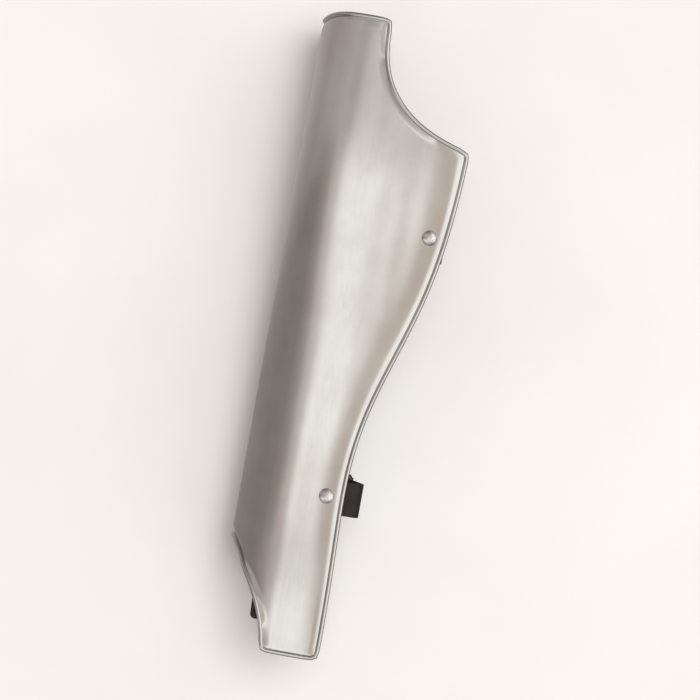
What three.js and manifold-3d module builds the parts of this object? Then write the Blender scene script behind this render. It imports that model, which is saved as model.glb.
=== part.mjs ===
import * as THREE from 'three';
import { ConvexHull } from 'three/addons/math/ConvexHull.js';
import { mergeVertices } from 'three/addons/utils/BufferGeometryUtils.js';
import Module from 'manifold-3d';

// A steel greave, the shin plate of a suit of armour, with two buckled leather straps. Millimetres.
// It is shaped upright: X runs from the shin ridge to the open back, Y from ankle to knee and Z out
// through the near wing. At the end the whole thing is laid on its far wing, on the floor at Z = 0.

// Sizes of the shin plate
const plateLength = 408;
const plateDepth = 107;
const calfHalfWidth = 56.5;
const sheetThickness = 1.2;
const beadDiameter = 3.6;
const flareWidth = 3.6;
const flareRise = 0.8;
const ridgeRimSink = 2.7;
const ridgeKeenness = 1.7;
const sideFlatness = 8;
const backSpread = 0.7;
const kneeTabDepth = 45;
const calfCornerHeight = 335;
const kneeCutTilt = 16.7;
const flapFrontDepth = 29.5;
const instepHeight = 65.5;
const cornerRadius = 1.6;

// Sizes of the rivets
const rivetHeadDiameter = 10;
const rivetHeadHeight = 2.8;
const rivetShankDiameter = 3.2;
const rivetBurrDiameter = 5.4;
const rivetBurrHeight = 0.9;
const rivetInset = 11.5;

// Sizes of the straps and buckles
const strapWidth = 22;
const strapThickness = 2;
const strapEndLap = 10;
const innerEndRadius = 3;
const upperStrapHeight = 276;
const lowerStrapHeight = 104;
const upperStrapBulge = -8.5;
const lowerStrapBulge = 9.5;
const lowerBuckleBulge = -8.5;
const tailLength = 11.5;
const buckleBar = 2.5;
const buckleLength = 19;
const buckleFromEdge = 14;
const tongueWidth = 2.6;
const tongueThickness = 1.6;
const clearance = 0.3;

// The plate's sections at equal steps from the ankle to the knee, as shares of calfHalfWidth and
// plateDepth: half its width, how deep its widest line lies and how deep its back edge lies, and as
// a share of sideFlatness how flat its sides are
const sections = [
  { halfWidth: 0.84, widest: 0.44, backEdge: 0.645, flatness: 0.6 },
  { halfWidth: 0.8, widest: 0.42, backEdge: 0.645, flatness: 0.55 },
  { halfWidth: 0.72, widest: 0.39, backEdge: 0.634, flatness: 0.5 },
  { halfWidth: 0.7, widest: 0.39, backEdge: 0.625, flatness: 0.5 },
  { halfWidth: 0.77, widest: 0.42, backEdge: 0.68, flatness: 0.55 },
  { halfWidth: 0.86, widest: 0.46, backEdge: 0.805, flatness: 0.65 },
  { halfWidth: 0.94, widest: 0.5, backEdge: 0.92, flatness: 0.85 },
  { halfWidth: 1.0, widest: 0.52, backEdge: 0.975, flatness: 1 },
  { halfWidth: 1.01, widest: 0.52, backEdge: 1.0, flatness: 1 },
  { halfWidth: 0.99, widest: 0.5, backEdge: 1.01, flatness: 0.9 },
  { halfWidth: 0.99, widest: 0.48, backEdge: 1.01, flatness: 0.8 },
];

// How finely the edges of one wing are stepped, from the ridge at the knee round to the ridge again
const kneeSteps = 8;
const cutSteps = 10;
const backSteps = 20;
const cornerSteps = 4;
const beadSteps = 6;

// A rim that turns by more than this within its rounding is at a corner, where it is stretched
const squareCornerTurn = THREE.MathUtils.degToRad(50);
const mostCornerStretch = 1.28;

const wasm = await Module();
wasm.setup();

// The plate's surface

const rimWidth = flareWidth + beadDiameter;
const kneeLine = plateLength - rimWidth;
const ankleLine = rimWidth;

// A smooth curve through one column of the sections
function along(column, height) {
  const last = sections.length - 1;
  const place = THREE.MathUtils.clamp(height / plateLength, 0, 1) * last;
  const row = Math.min(Math.floor(place), last - 1);
  const t = place - row;
  const share = (index) => sections[THREE.MathUtils.clamp(index, 0, last)][column];
  const weights = [(1 - t) ** 3, 3 * t ** 3 - 6 * t ** 2 + 4, 1 + 3 * t + 3 * t ** 2 - 3 * t ** 3, t ** 3];
  return weights.reduce((sum, weight, i) => sum + (weight * share(row + i - 1)) / 6, 0);
}

const halfWidthAt = (height) => along('halfWidth', height) * calfHalfWidth;
const widestAt = (height) => along('widest', height) * plateDepth;
const backEdgeAt = (height) => along('backEdge', height) * plateDepth;

// The angle round the shin, 0 at the ridge and positive on the near wing, at which a depth lies
function angleAt(depth, height) {
  return Math.acos(THREE.MathUtils.clamp(1 - depth / widestAt(height), -1, 1));
}

// A point in the middle of the sheet
function platePoint(angle, height) {
  const turn = Math.cos(angle);
  const reach = turn > 0 ? turn : -turn * backSpread;
  const bow = (1 - reach ** (along('flatness', height) * sideFlatness)) ** (ridgeKeenness / 2);
  const sideways = Math.sign(angle) * halfWidthAt(height) * bow;
  return new THREE.Vector3(widestAt(height) * (1 - turn), height, sideways);
}

// The outward normal of the sheet
function plateNormal(angle, height) {
  const step = 0.01;
  const round = platePoint(angle + step, height).sub(platePoint(angle - step, height));
  const up = platePoint(angle, height + 1).sub(platePoint(angle, height - 1));
  return round.cross(up).normalize();
}

// The plate's edges, as lines of angle and height just inside the flare of the rim

const calfLine = calfCornerHeight - rimWidth;
const baseEdgeAt = (height) => backEdgeAt(height) - rimWidth;
const tabAngle = angleAt(kneeTabDepth - rimWidth, kneeLine);
const toeAngle = angleAt(flapFrontDepth + rimWidth, ankleLine);
const heelAngle = angleAt(baseEdgeAt(ankleLine), ankleLine);

function kneeEdge(t) {
  return new THREE.Vector2(t * tabAngle, kneeLine);
}

// The hollow behind the knee tab is a squared quarter ellipse on a slope
function kneeCut(t) {
  const turn = (t * Math.PI) / 2;
  const squareness = 0.8;
  const tabDepth = kneeTabDepth - rimWidth;
  const cutDepth = baseEdgeAt(calfLine) - tabDepth;
  const back = 1 - Math.cos(turn) ** squareness;
  const drop = (kneeLine - calfLine - kneeCutTilt) * Math.sin(turn) ** squareness;
  const height = kneeLine - drop - kneeCutTilt * back;
  return new THREE.Vector2(angleAt(tabDepth + back * cutDepth, height), height);
}

function backEdge(t) {
  const height = THREE.MathUtils.lerp(calfLine, ankleLine, t);
  return new THREE.Vector2(angleAt(baseEdgeAt(height), height), height);
}

function flapEdge(t) {
  return new THREE.Vector2(THREE.MathUtils.lerp(heelAngle, toeAngle, t), ankleLine);
}

// The arch over the instep is a stretched quarter ellipse
function instepArch(t) {
  const turn = (t * Math.PI) / 2;
  const rise = instepHeight - ankleLine + rimWidth;
  const archFullness = 0.91;
  const archSteepness = 1.29;
  const angle = toeAngle * Math.cos(turn) ** archFullness;
  return new THREE.Vector2(angle, ankleLine + rise * Math.sin(turn) ** archSteepness);
}

const sides = [
  { edge: kneeEdge, steps: kneeSteps },
  { edge: kneeCut, steps: cutSteps },
  { edge: backEdge, steps: backSteps },
  { edge: flapEdge, steps: cutSteps },
  { edge: instepArch, steps: kneeSteps },
];

function spacing(a, b) {
  return platePoint(a.x, a.y).distanceTo(platePoint(b.x, b.y));
}

// The share of a side, counted from its start or its end, that a corner's rounding takes
function cornerShare(edge, fromStart) {
  let share = 0;
  const from = fromStart ? edge(0) : edge(1);
  while (spacing(from, edge(fromStart ? share : 1 - share)) < cornerRadius) {
    share += 0.002;
  }
  return share;
}

// The edge line of the near wing, from the ridge at the knee to the ridge at the instep
function wingEdge() {
  const line = [];
  sides.forEach(({ edge, steps }, index) => {
    const start = index > 0 ? cornerShare(edge, true) : 0;
    const end = index < sides.length - 1 ? 1 - cornerShare(edge, false) : 1;
    if (index > 0) {
      const from = line[line.length - 1];
      const rounding = new THREE.QuadraticBezierCurve(from, edge(0), edge(start));
      line.push(...rounding.getPoints(cornerSteps).slice(1, -1));
    }
    for (let step = 0; step <= steps; step++) {
      line.push(edge(THREE.MathUtils.lerp(start, end, step / steps)));
    }
  });
  return line;
}

// Running lengths along a line of points, as shares of the whole
function runningShares(line) {
  const sums = [0];
  for (let i = 1; i < line.length; i++) {
    sums.push(sums[i - 1] + spacing(line[i - 1], line[i]));
  }
  return sums.map((sum) => sum / sums[sums.length - 1]);
}

// A net of points over both wings that ends on the edge line: rows from knee to ankle, and columns
// from the near back edge over the ridge to the far one
function plateNet() {
  const edge = wingEdge();
  const calf = kneeSteps + cutSteps + 1.5 * cornerSteps;
  const heel = calf + backSteps + cornerSteps;
  const mirror = (point) => new THREE.Vector2(-point.x, point.y);
  const across = (half) => [...half, ...half.slice(0, -1).reverse().map(mirror)];
  const knee = across(edge.slice(0, calf + 1).reverse());
  const ankle = across(edge.slice(heel));
  const near = edge.slice(calf, heel + 1);
  const far = near.map(mirror);
  const downShares = runningShares(near);
  const kneeShares = runningShares(knee);
  const acrossShares = runningShares(ankle).map((share, i) => (share + kneeShares[i]) / 2);
  return downShares.map((v, i) =>
    acrossShares.map((u, j) => {
      const point = knee[j].clone().multiplyScalar(1 - v).addScaledVector(ankle[j], v);
      point.addScaledVector(near[i], 1 - u).addScaledVector(far[i], u);
      point.addScaledVector(near[0], -(1 - u) * (1 - v)).addScaledVector(far[0], -u * (1 - v));
      point.addScaledVector(near[near.length - 1], -(1 - u) * v);
      return point.addScaledVector(far[far.length - 1], -u * v);
    }),
  );
}

// The rim's profile, out along the sheet and up from its middle: the flare, then the edge rolled
// outwards into a bead, then back under both
function rimProfile() {
  const half = sheetThickness / 2;
  const beadRadius = beadDiameter / 2;
  const out = rimWidth - beadRadius;
  const up = flareRise - half + beadRadius;
  const start = THREE.MathUtils.degToRad(215);
  const profile = [
    { out: 0, up: half },
    { out: flareWidth * 0.5, up: half + flareRise * 0.35 },
    { out: flareWidth, up: half + flareRise },
  ];
  for (let step = 0; step <= beadSteps; step++) {
    const angle = THREE.MathUtils.lerp(start, -Math.PI / 2, step / beadSteps);
    profile.push({ out: out + beadRadius * Math.cos(angle), up: up + beadRadius * Math.sin(angle) });
  }
  profile.push(
    { out: flareWidth, up: flareRise - half },
    { out: flareWidth * 0.5, up: flareRise * 0.35 - half },
    { out: 0, up: -half },
  );
  return profile;
}

// How much further out the rim reaches at a corner, so that the corner stays nearly square
function cornerStretch(outward, k) {
  const apart = cornerSteps - 1;
  const before = outward[(k + outward.length - apart) % outward.length];
  const after = outward[(k + apart) % outward.length];
  const opening = before.angleTo(after);
  if (opening < squareCornerTurn) return 1;
  const turn = Math.min(outward[k].angleTo(before), outward[k].angleTo(after));
  return Math.min(1 / Math.cos(turn), mostCornerStretch);
}

function solidFrom(points, triangles) {
  const geometry = new THREE.BufferGeometry();
  const positions = points.flatMap((point) => point.toArray());
  geometry.setAttribute('position', new THREE.Float32BufferAttribute(positions, 3));
  geometry.setIndex(triangles);
  return geometry;
}

function shinPlate() {
  const net = plateNet();
  const lastRow = net.length - 1;
  const lastColumn = net[0].length - 1;
  const points = [];
  const triangles = [];
  const quad = (a, b, c, d) => triangles.push(a, b, c, a, c, d);
  const faceOf = (offset) =>
    net.map((row) =>
      row.map(({ x, y }) => points.push(platePoint(x, y).addScaledVector(plateNormal(x, y), offset)) - 1),
    );
  const outer = faceOf(sheetThickness / 2);
  const inner = faceOf(-sheetThickness / 2);
  for (let i = 0; i < lastRow; i++) {
    for (let j = 0; j < lastColumn; j++) {
      quad(outer[i][j], outer[i + 1][j], outer[i + 1][j + 1], outer[i][j + 1]);
      quad(inner[i][j], inner[i][j + 1], inner[i + 1][j + 1], inner[i + 1][j]);
    }
  }
  const ring = [];
  for (let j = 0; j < lastColumn; j++) ring.push([0, j]);
  for (let i = 0; i < lastRow; i++) ring.push([i, lastColumn]);
  for (let j = lastColumn; j > 0; j--) ring.push([lastRow, j]);
  for (let i = lastRow; i > 0; i--) ring.push([i, 0]);
  const middle = ring.map(([i, j]) => platePoint(net[i][j].x, net[i][j].y));
  const outward = ring.map(([i, j], k) => {
    const before = middle[k].clone().sub(middle[(k + ring.length - 1) % ring.length]).normalize();
    const after = middle[(k + 1) % ring.length].clone().sub(middle[k]).normalize();
    return before.add(after).cross(plateNormal(net[i][j].x, net[i][j].y)).normalize();
  });
  const profile = rimProfile();
  const rim = ring.map(([i, j], k) => {
    const { x, y } = net[i][j];
    const up = plateNormal(x, y);
    const push = rimWidth * (cornerStretch(outward, k) - 1);
    const sink = ridgeRimSink * Math.max(Math.cos(x), 0) ** 2;
    const between = profile.slice(1, -1).map((spot) => {
      const share = Math.min(spot.out / flareWidth, 1);
      const point = middle[k].clone().addScaledVector(outward[k], spot.out + push * share);
      return points.push(point.addScaledVector(up, spot.up - sink * share)) - 1;
    });
    return [outer[i][j], ...between, inner[i][j]];
  });
  rim.forEach((here, k) => {
    const next = rim[(k + 1) % rim.length];
    for (let p = 0; p < here.length - 1; p++) quad(next[p], next[p + 1], here[p + 1], here[p]);
  });
  return solidFrom(points, triangles);
}

// Joining and cutting closed solids

function volumeOf(geometry) {
  const position = geometry.getAttribute('position');
  const index = geometry.getIndex();
  const corner = (i) => new THREE.Vector3().fromBufferAttribute(position, index.getX(i));
  let volume = 0;
  for (let i = 0; i < index.count; i += 3) {
    volume += corner(i).dot(corner(i + 1).cross(corner(i + 2))) / 6;
  }
  return volume;
}

function closed(geometry) {
  const bare = geometry.clone();
  bare.deleteAttribute('normal');
  bare.deleteAttribute('uv');
  const merged = mergeVertices(bare, 1e-4);
  if (volumeOf(merged) < 0) {
    const index = merged.getIndex();
    for (let i = 0; i < index.count; i += 3) {
      const first = index.getX(i);
      index.setX(i, index.getX(i + 1));
      index.setX(i + 1, first);
    }
  }
  return merged;
}

function toManifold(geometry) {
  const solid = closed(geometry);
  return new wasm.Manifold(
    new wasm.Mesh({
      numProp: 3,
      vertProperties: new Float32Array(solid.getAttribute('position').array),
      triVerts: new Uint32Array(solid.getIndex().array),
    }),
  );
}

function fromManifold(solid) {
  const { vertProperties, triVerts } = solid.getMesh();
  const geometry = new THREE.BufferGeometry();
  geometry.setAttribute('position', new THREE.BufferAttribute(vertProperties, 3));
  geometry.setIndex(new THREE.BufferAttribute(triVerts, 1));
  return geometry;
}

function cut(geometry, ...tools) {
  return fromManifold(tools.reduce((solid, tool) => solid.subtract(toManifold(tool)), toManifold(geometry)));
}

function join(geometry, ...others) {
  return fromManifold(others.reduce((solid, other) => solid.add(toManifold(other)), toManifold(geometry)));
}

// Rivets

// The seat of a rivet in the middle of the sheet: side is 1 on the near wing and -1 on the far one
function rivetSeat(height, side) {
  const angle = side * angleAt(backEdgeAt(height) - rivetInset, height);
  const seat = new THREE.Object3D();
  seat.position.copy(platePoint(angle, height));
  seat.quaternion.setFromUnitVectors(new THREE.Vector3(0, 1, 0), plateNormal(angle, height));
  seat.updateMatrix();
  return seat.matrix;
}

// A domed head outside, a shank through the sheet and the leather, and a burr inside
function rivet(height, side) {
  const headSeat = sheetThickness / 2 + clearance;
  const depth = backEdgeAt(height) - rivetInset;
  const sheet = platePoint(side * angleAt(depth, height), height);
  const leather = lining(depth, height, side).at.distanceTo(sheet);
  const burrSeat = -(leather + strapThickness / 2 + 2 * clearance);
  const profile = [];
  const domeSteps = 3;
  for (let step = 0; step <= domeSteps; step++) {
    const turn = (step / domeSteps) * (Math.PI / 2);
    const radius = (rivetHeadDiameter / 2) * Math.sin(turn);
    profile.push(new THREE.Vector2(radius, headSeat + rivetHeadHeight * Math.cos(turn)));
  }
  profile.push(
    new THREE.Vector2(rivetShankDiameter / 2, headSeat),
    new THREE.Vector2(rivetShankDiameter / 2, burrSeat),
    new THREE.Vector2(rivetBurrDiameter / 2, burrSeat),
    new THREE.Vector2(rivetBurrDiameter / 2, burrSeat - rivetBurrHeight),
    new THREE.Vector2(0, burrSeat - rivetBurrHeight),
  );
  const sidesRound = 10;
  return closed(new THREE.LatheGeometry(profile, sidesRound)).applyMatrix4(rivetSeat(height, side));
}

function rivetHole(height, side) {
  const reach = 2 * rivetInset;
  const radius = rivetShankDiameter / 2 + clearance;
  const hole = new THREE.CylinderGeometry(radius, radius, reach, 12);
  return hole.applyMatrix4(rivetSeat(height, side));
}

// Leather

// A flat band along stations, each a point on its middle line and the direction across it there.
// The corners of its ends are rounded, and a radius of half the width makes a half circle.
function band(stations, width, thickness, startRadius, endRadius, steps) {
  const middle = new THREE.CatmullRomCurve3(stations.map((station) => station.at), false, 'centripetal');
  const across = new THREE.CatmullRomCurve3(stations.map((station) => station.across), false, 'centripetal');
  const length = middle.getLength();
  const half = width / 2;
  const endTurns = [0.2, 0.5, 0.85, 1.2];
  const shares = [];
  const endShares = (radius) => endTurns.map((turn) => (radius * (1 - Math.cos(turn))) / length);
  const firstShare = startRadius / length;
  const lastShare = 1 - endRadius / length;
  if (startRadius) shares.push(...endShares(startRadius));
  for (let step = 0; step <= steps; step++) {
    shares.push(THREE.MathUtils.lerp(firstShare, lastShare, step / steps));
  }
  if (endRadius) shares.push(...endShares(endRadius).map((share) => 1 - share).reverse());
  const inset = (radius, distance) => {
    return distance < radius ? radius - Math.sqrt(radius ** 2 - (radius - distance) ** 2) : 0;
  };
  const points = [];
  const rings = shares.map((share) => {
    const t = middle.getUtoTmapping(share);
    const along = middle.getTangent(t);
    const side = across.getPoint(t);
    side.addScaledVector(along, -side.dot(along)).normalize();
    const up = along.clone().cross(side);
    const reach = half - inset(startRadius, share * length) - inset(endRadius, (1 - share) * length);
    const corners = [
      [-reach, -thickness / 2],
      [reach, -thickness / 2],
      [reach, thickness / 2],
      [-reach, thickness / 2],
    ];
    return corners.map(([s, n]) => {
      const corner = middle.getPoint(t).addScaledVector(side, s).addScaledVector(up, n);
      return points.push(corner) - 1;
    });
  });
  const triangles = [];
  const quad = (a, b, c, d) => triangles.push(a, b, c, a, c, d);
  rings.slice(1).forEach((here, i) => {
    const before = rings[i];
    for (let side = 0; side < 4; side++) {
      quad(before[side], before[(side + 1) % 4], here[(side + 1) % 4], here[side]);
    }
  });
  quad(rings[0][3], rings[0][2], rings[0][1], rings[0][0]);
  quad(...rings[rings.length - 1]);
  return closed(solidFrom(points, triangles));
}

const upright = new THREE.Vector3(0, 1, 0);

const station = (at, across = upright) => ({ at, across: across.clone() });

// A point inside a wing, on the middle line of leather that lies against it
function insidePoint(depth, height, side) {
  const angle = side * angleAt(depth, height);
  const offset = -(sheetThickness / 2 + clearance + strapThickness / 2);
  return platePoint(angle, height).addScaledVector(plateNormal(angle, height), offset);
}

// A strap's station inside a wing: the leather lies flat across its width, clear of the curved
// sheet, and the steps in depth and height lead from its middle to one of its long edges
function lining(depth, height, side, stepDepth = 0, stepHeight = strapWidth / 2) {
  const one = insidePoint(depth + stepDepth, height + stepHeight, side);
  const other = insidePoint(depth - stepDepth, height - stepHeight, side);
  const middle = insidePoint(depth, height, side);
  const inward = plateNormal(side * angleAt(depth, height), height).negate();
  const lift = one.clone().add(other).multiplyScalar(0.5).sub(middle).dot(inward);
  return station(middle.addScaledVector(inward, Math.max(lift, 0) + clearance), one.sub(other).normalize());
}

// The fastening across the back at one height: where its middle line leaves each wing, how deep it
// lies there, and the buckle's hinge bar with its own directions
function fastening(height, nearBulge, farBulge) {
  const edge = backEdgeAt(height);
  const bendWidth = 0.6 * buckleFromEdge;
  const wallSide = lining(edge - rimWidth, height, 1).at.z;
  const near = new THREE.Vector3(edge + nearBulge, height, wallSide - bendWidth);
  const far = new THREE.Vector3(edge + farBulge, height, bendWidth - wallSide);
  const run = far.clone().sub(near).normalize();
  const out = run.clone().cross(upright);
  const eyeRadius = buckleBar * Math.SQRT1_2 + clearance + strapThickness / 2;
  const tabLine = far.clone().addScaledVector(run, -(buckleFromEdge - bendWidth + eyeRadius));
  const hinge = tabLine.clone().addScaledVector(out, eyeRadius);
  return { height, near, far, run, out, eyeRadius, hinge };
}

const local = ({ hinge, run, out, height }, alongRun, outward, up = 0) =>
  hinge.clone().addScaledVector(run, alongRun).addScaledVector(out, outward).setY(height + up);

// Leather held by a rivet, from its rounded end to where it leaves the sheet
function riveted(f, side) {
  const edge = backEdgeAt(f.height);
  const insets = [rivetInset + strapEndLap, rivetInset, rivetInset - 3.5];
  return insets.map((inset) => lining(edge - inset, f.height, side));
}

// The lower strap's inner end starts in front of the ankle flap and goes up inside the near wing
// before it turns back to its rivet
function innerEnd() {
  const half = strapWidth / 2;
  const spots = [
    { depth: 31, height: 20, turn: 0 },
    { depth: 31, height: 36, turn: 0 },
    { depth: 32, height: 52, turn: 0 },
    { depth: 34.5, height: 68, turn: 10 },
    { depth: 37.5, height: 82, turn: 28 },
    { depth: 43, height: 94, turn: 52 },
    { depth: 50, height: 101.5, turn: 76 },
  ];
  return spots.map(({ depth, height, turn }) => {
    const angle = THREE.MathUtils.degToRad(turn);
    return lining(depth, height, 1, -half * Math.cos(angle), half * Math.sin(angle));
  });
}

// The strap's middle line from inside the near wing, across the back and through the buckle, to its
// short end that lies on the buckle's tab
function strapLine(f, start) {
  const overEye = f.eyeRadius + strapThickness + clearance;
  const underBar = -(buckleBar / 2 + clearance + strapThickness / 2);
  const onTab = -f.eyeRadius + strapThickness + 3 * clearance;
  return [
    ...start,
    ...nearBend(f),
    station(local(f, -buckleLength - 3, underBar)),
    station(local(f, -buckleLength + buckleBar + 1, underBar)),
    station(local(f, -buckleLength * 0.5, (underBar + overEye) / 2 + 0.4)),
    station(local(f, -2.5, overEye + 0.3)),
    station(local(f, 2, overEye + 0.2)),
    station(local(f, 7, onTab + 1.8)),
    station(local(f, tailLength, onTab + 1.6)),
  ];
}

// Slack leather goes on past the edge before it turns across; taut leather turns at once
function nearBend(f) {
  const edge = backEdgeAt(f.height);
  const wall = lining(edge - rimWidth, f.height, 1).at.z;
  const bulge = f.near.x - edge;
  if (bulge <= 0) {
    return [station(f.near.clone())];
  }
  return [
    lining(edge, f.height, 1),
    station(new THREE.Vector3(edge + bulge * 0.72, f.height, wall - 1.2)),
    station(new THREE.Vector3(edge + bulge * 1.02, f.height, wall - 5.5)),
    station(f.near.clone().addScaledVector(f.run, 5)),
  ];
}

function tongueHole(f) {
  const hole = new THREE.BoxGeometry(tongueWidth + 4 * clearance, 8, 6);
  return placed(hole, f, -buckleLength * 0.5, 1.2);
}

// Puts a solid, made with X up the leg, Y along the run and Z outwards, at a place by the hinge bar
function placed(geometry, f, alongRun, outward) {
  const turn = new THREE.Matrix4().makeBasis(upright, f.run, f.out);
  return geometry.applyMatrix4(turn.setPosition(local(f, alongRun, outward)));
}

function strap(f, start, startRadius, steps) {
  const line = strapLine(f, start);
  const solid = band(line, strapWidth, strapThickness, startRadius, strapWidth / 2, steps);
  return cut(solid, rivetHole(f.height, 1), tongueHole(f));
}

// The buckle's tab goes from the far rivet to the hinge bar and round it
function buckleTab(f) {
  const eye = [];
  const eyeSteps = 9;
  for (let step = 0; step <= eyeSteps; step++) {
    const turn = THREE.MathUtils.degToRad(-90 - 30 * step);
    eye.push(station(local(f, f.eyeRadius * Math.cos(turn), f.eyeRadius * Math.sin(turn))));
  }
  const stations = [
    ...riveted(f, -1),
    station(f.far.clone()),
    ...eye,
  ];
  const slot = placed(new THREE.BoxGeometry(tongueWidth + 4 * clearance, 8, 5), f, -4, 0.8);
  const solid = band(stations, strapWidth, strapThickness, strapWidth / 2, 0, 26);
  return cut(solid, rivetHole(f.height, -1), slot);
}

// Buckles

function roundedBox(width, height, radius, Type = THREE.Shape) {
  const outline = new Type();
  const corners = [
    [width / 2 - radius, height / 2 - radius, 0],
    [radius - width / 2, height / 2 - radius, 1],
    [radius - width / 2, radius - height / 2, 2],
    [width / 2 - radius, radius - height / 2, 3],
  ];
  corners.forEach(([x, y, quarter]) => {
    outline.absarc(x, y, radius, (quarter * Math.PI) / 2, ((quarter + 1) * Math.PI) / 2);
  });
  return outline;
}

// A rectangular frame with its tongue resting on the bar that it points to
function buckle(f) {
  const inside = strapWidth + 4 * clearance;
  const frame = roundedBox(inside + 2 * buckleBar, buckleLength + buckleBar, 3);
  frame.holes.push(roundedBox(inside, buckleLength - buckleBar, 1, THREE.Path));
  const ring = new THREE.ExtrudeGeometry(frame, { depth: buckleBar, bevelEnabled: false, curveSegments: 3 });
  placed(ring.translate(0, 0, -buckleBar / 2), f, -buckleLength / 2, 0);
  const rest = buckleBar / 2 + tongueThickness / 2 - 0.2;
  const tongue = [
    station(local(f, 0.4, 0)),
    station(local(f, -buckleLength * 0.3, -0.2)),
    station(local(f, -buckleLength * 0.66, rest - 0.2)),
    station(local(f, -buckleLength - 1, rest)),
  ];
  return join(ring, band(tongue, tongueWidth, tongueThickness, 0, 0, 8));
}

// The finished pieces

const steel = { color: 0xb9b1a8, roughness: 0.25, metalness: 1 };
const ironware = { color: 0x8d867f, roughness: 0.35, metalness: 1 };
const leather = { color: 0x2f2b28, roughness: 0.65, metalness: 0 };

function mesh(name, geometry, finish) {
  const piece = new THREE.Mesh(closed(geometry), new THREE.MeshStandardMaterial(finish));
  piece.name = name;
  return piece;
}

const upper = fastening(upperStrapHeight, upperStrapBulge, upperStrapBulge);
const lower = fastening(lowerStrapHeight, lowerStrapBulge, lowerBuckleBulge);
const wings = { near: 1, far: -1 };
const greave = new THREE.Group();
const rivetHoles = [];

Object.entries({ upper, lower }).forEach(([place, { height }]) => {
  Object.entries(wings).forEach(([wing, side]) => {
    greave.add(mesh(`rivet_${place}_${wing}`, rivet(height, side), steel));
    rivetHoles.push(rivetHole(height, side));
  });
});
const lowerStart = [...innerEnd(), ...riveted(lower, 1).slice(1)];
greave.add(
  mesh('shin_plate', cut(shinPlate(), ...rivetHoles), steel),
  mesh('strap_upper', strap(upper, riveted(upper, 1), strapWidth / 2, 44), leather),
  mesh('strap_lower', strap(lower, lowerStart, innerEndRadius, 66), leather),
  mesh('buckle_tab_upper', buckleTab(upper), leather),
  mesh('buckle_tab_lower', buckleTab(lower), leather),
  mesh('buckle_upper', buckle(upper), ironware),
  mesh('buckle_lower', buckle(lower), ironware),
);

// Lying on its side

// It rests on the face of its convex hull, on the far side, that its centre of mass stands over
function restingDirection(pieces) {
  const corners = [];
  const centre = new THREE.Vector3();
  let volume = 0;
  pieces.forEach(({ geometry }) => {
    const position = geometry.getAttribute('position');
    const index = geometry.getIndex();
    const corner = (i) => new THREE.Vector3().fromBufferAttribute(position, index.getX(i));
    for (let i = 0; i < index.count; i += 3) {
      const [a, b, c] = [corner(i), corner(i + 1), corner(i + 2)];
      const part = a.dot(b.clone().cross(c)) / 6;
      centre.addScaledVector(a.clone().add(b).add(c), part / 4);
      volume += part;
      corners.push(a);
    }
  });
  centre.divideScalar(volume);
  const ray = new THREE.Ray(centre);
  const stands = ({ normal, constant, edge }) => {
    const foot = centre.clone().addScaledVector(normal, constant - centre.dot(normal));
    for (let side = edge, count = 0; count < 3; side = side.next, count++) {
      const from = side.tail().point;
      const along = side.head().point.clone().sub(from);
      if (along.cross(foot.clone().sub(from)).dot(normal) < 0) return false;
    }
    return true;
  };
  const hull = new ConvexHull().setFromPoints(corners);
  const faces = hull.faces.filter((face) => face.normal.z < -0.7);
  faces.sort((a, b) => a.normal.z - b.normal.z);
  return (faces.find(stands) ?? faces[0]).normal;
}

const down = restingDirection(greave.children);
const laidDown = new THREE.Matrix4().makeRotationFromQuaternion(
  new THREE.Quaternion().setFromUnitVectors(down, new THREE.Vector3(0, 0, -1)),
);
const laidBox = new THREE.Box3();
greave.children.forEach((piece) => {
  piece.geometry.applyMatrix4(laidDown);
  laidBox.expandByObject(piece, true);
});
const middleOfBox = laidBox.getCenter(new THREE.Vector3());
greave.position.set(-middleOfBox.x, -middleOfBox.y, -laidBox.min.z);

export default greave;
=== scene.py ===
import math

import bpy
import numpy as np
from mathutils import Matrix, Vector


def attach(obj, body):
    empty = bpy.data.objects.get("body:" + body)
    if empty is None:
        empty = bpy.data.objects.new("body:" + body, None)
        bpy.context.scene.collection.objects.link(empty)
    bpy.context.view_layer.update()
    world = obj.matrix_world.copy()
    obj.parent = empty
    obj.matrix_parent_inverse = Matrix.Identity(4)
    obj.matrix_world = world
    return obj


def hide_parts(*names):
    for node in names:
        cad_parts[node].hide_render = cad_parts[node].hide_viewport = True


# A polished steel greave with two buckled leather straps, lying on its far wing on a pale floor.
# Shapes are worked out upright in millimetres: X from the shin ridge to the open back, Y from ankle
# to knee and Z out through the near wing. They are then laid down and turned to metres.

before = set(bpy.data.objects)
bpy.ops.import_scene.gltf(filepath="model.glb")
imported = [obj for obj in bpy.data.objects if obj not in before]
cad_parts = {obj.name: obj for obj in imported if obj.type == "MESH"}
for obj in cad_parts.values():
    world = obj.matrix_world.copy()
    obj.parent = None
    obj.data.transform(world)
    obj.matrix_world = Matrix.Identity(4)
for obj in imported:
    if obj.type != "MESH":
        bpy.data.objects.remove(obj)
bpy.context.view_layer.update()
print("frame loaded")

# The way down and the place of the upright shape's origin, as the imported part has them
layingDown = {"down": (-0.06512, -0.022246, -0.997629), "origin": (-54.52, -204.056, 48.341)}

turnDown = Vector(layingDown["down"]).rotation_difference(Vector((0, 0, -1))).to_matrix()
toFloor = Matrix.Scale(0.001, 4) @ Matrix.Translation(layingDown["origin"]) @ turnDown.to_4x4()


# Colours and materials

def colour(text):
    # sRGB hex to linear light
    parts = [int(text[i : i + 2], 16) / 255 for i in (1, 3, 5)]
    return [p / 12.92 if p <= 0.04045 else ((p + 0.055) / 1.055) ** 2.4 for p in parts] + [1.0]


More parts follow.
